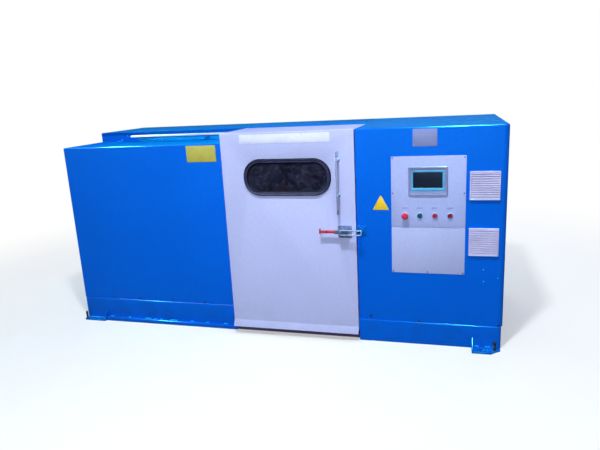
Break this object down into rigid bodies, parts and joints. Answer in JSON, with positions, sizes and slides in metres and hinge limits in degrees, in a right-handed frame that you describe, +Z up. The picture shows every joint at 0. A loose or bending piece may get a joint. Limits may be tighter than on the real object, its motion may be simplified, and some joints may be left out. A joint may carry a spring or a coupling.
{
  "type": "stranding machine",
  "caption": "Enclosed wire stranding machine with a blue sheet-steel housing, a sliding windowed door, a toggle latch, a control panel and floor feet.",
  "frame": {"origin": "centre of the footprint, on the floor", "axes": "+Z up, +X to the right seen from the front, front faces -Y"},
  "size_m": [2.66, 1.164, 1.216],
  "materials": {
    "blue_paint": "glossy sprayed blue enamel on folded sheet steel",
    "door_paint": "pale lavender-grey enamel",
    "panel_paint": "pale lavender-grey powder coat",
    "chamber_paint": "dark grey, oily inside",
    "rail_steel": "bright ground steel",
    "dark_steel": "blackened steel",
    "stainless": "brushed stainless",
    "latch_chrome": "bright plated",
    "black_rubber": "satin black",
    "dark_glass": "smoked",
    "screen_glass": "dark display",
    "grey_plastic": "moulded grey",
    "black_plastic": "nylon",
    "vent_plastic": "moulded, pale",
    "red_plastic": "glossy red",
    "dark_red_plastic": "glossy dark red",
    "green_plastic": "glossy dark green",
    "white_label": "plain white vinyl, blank",
    "yellow_label": "plain yellow vinyl, blank",
    "silver_plate": "plain satin, blank",
    "bobbin_red": "dark red enamel"
  },
  "bodies": {
    "housing": {"blank_nameplate": "silver_plate", "bobbin": "bobbin_red", "bobbin_shaft": "dark_steel", "button_bezels": "grey_plastic", "chamber_floor": "chamber_paint", "chamber_walls": "chamber_paint", "control_panel": "panel_paint", "end_and_rear_plinth": "blue_paint", "floor_feet": "blue_paint", "flyer_bows": "dark_steel", "latch_catch": "latch_chrome", "left_end_panel": "blue_paint", "left_front_panel": "blue_paint", "left_ledge": "blue_paint", "left_plinth": "blue_paint", "levelling_bolts": "dark_steel", "lower_track": "blue_paint", "lower_vent": "vent_plastic", "main_top_cover": "blue_paint", "rail_brackets": "dark_steel", "rear_panels": "blue_paint", "recess_wall": "blue_paint", "right_corner_post": "blue_paint", "right_end_panel": "blue_paint", "right_front_panel": "blue_paint", "right_plinth": "blue_paint", "right_top_cover": "blue_paint", "rotor_discs": "dark_steel", "touch_screen": "screen_glass", "touch_screen_bezel": "grey_plastic", "triangle_plate": "yellow_label", "upper_rail": "rail_steel", "upper_vent": "vent_plastic", "yellow_plate": "yellow_label"},
    "door": {"door_panel": "door_paint", "door_top_lip": "door_paint", "door_cheeks": "door_paint", "door_flare": "door_paint", "window_seal": "black_rubber", "window_glass": "dark_glass", "guide_shoes": "black_plastic", "door_wheels": "dark_steel", "door_handle": "stainless", "white_strip": "white_label", "latch_base": "latch_chrome"},
    "latch_handle": {"latch_lever": "latch_chrome", "latch_grip": "red_plastic"},
    "latch_loop": {"latch_hook": "latch_chrome"},
    "stop_mushroom": {"emergency_stop": "red_plastic"},
    "green_push": {"green_button": "green_plastic"},
    "red_push": {"red_button": "red_plastic"},
    "dark_red_push": {"dark_red_button": "dark_red_plastic"}
  },
  "joints": [
    {"name": "door_slide", "type": "slide", "parent": "housing", "child": "door", "axis": [-1, 0, 0], "range_m": [0, 0.76]},
    {"name": "latch_handle_swing", "type": "hinge", "parent": "door", "child": "latch_handle", "pos_m": [0.488, -0.554, 0.658], "axis": [0, 0, 1], "range_deg": [0, 110]},
    {"name": "latch_loop_pin", "type": "hinge", "parent": "latch_handle", "child": "latch_loop", "pos_m": [0.464, -0.57, 0.658], "axis": [0, 0, 1], "range_deg": [-110, 0]},
    {"name": "stop_press", "type": "slide", "parent": "housing", "child": "stop_mushroom", "axis": [0, 1, 0], "range_m": [0, 0.004]},
    {"name": "green_press", "type": "slide", "parent": "housing", "child": "green_push", "axis": [0, 1, 0], "range_m": [0, 0.003], "stiffness_N_per_m": 1000},
    {"name": "red_press", "type": "slide", "parent": "housing", "child": "red_push", "axis": [0, 1, 0], "range_m": [0, 0.003], "stiffness_N_per_m": 1000},
    {"name": "dark_red_press", "type": "slide", "parent": "housing", "child": "dark_red_push", "axis": [0, 1, 0], "range_m": [0, 0.003], "stiffness_N_per_m": 1000}
  ],
  "couplings": [
    {"joint": "latch_loop_pin", "follows": "latch_handle_swing", "ratio": -1}
  ]
}
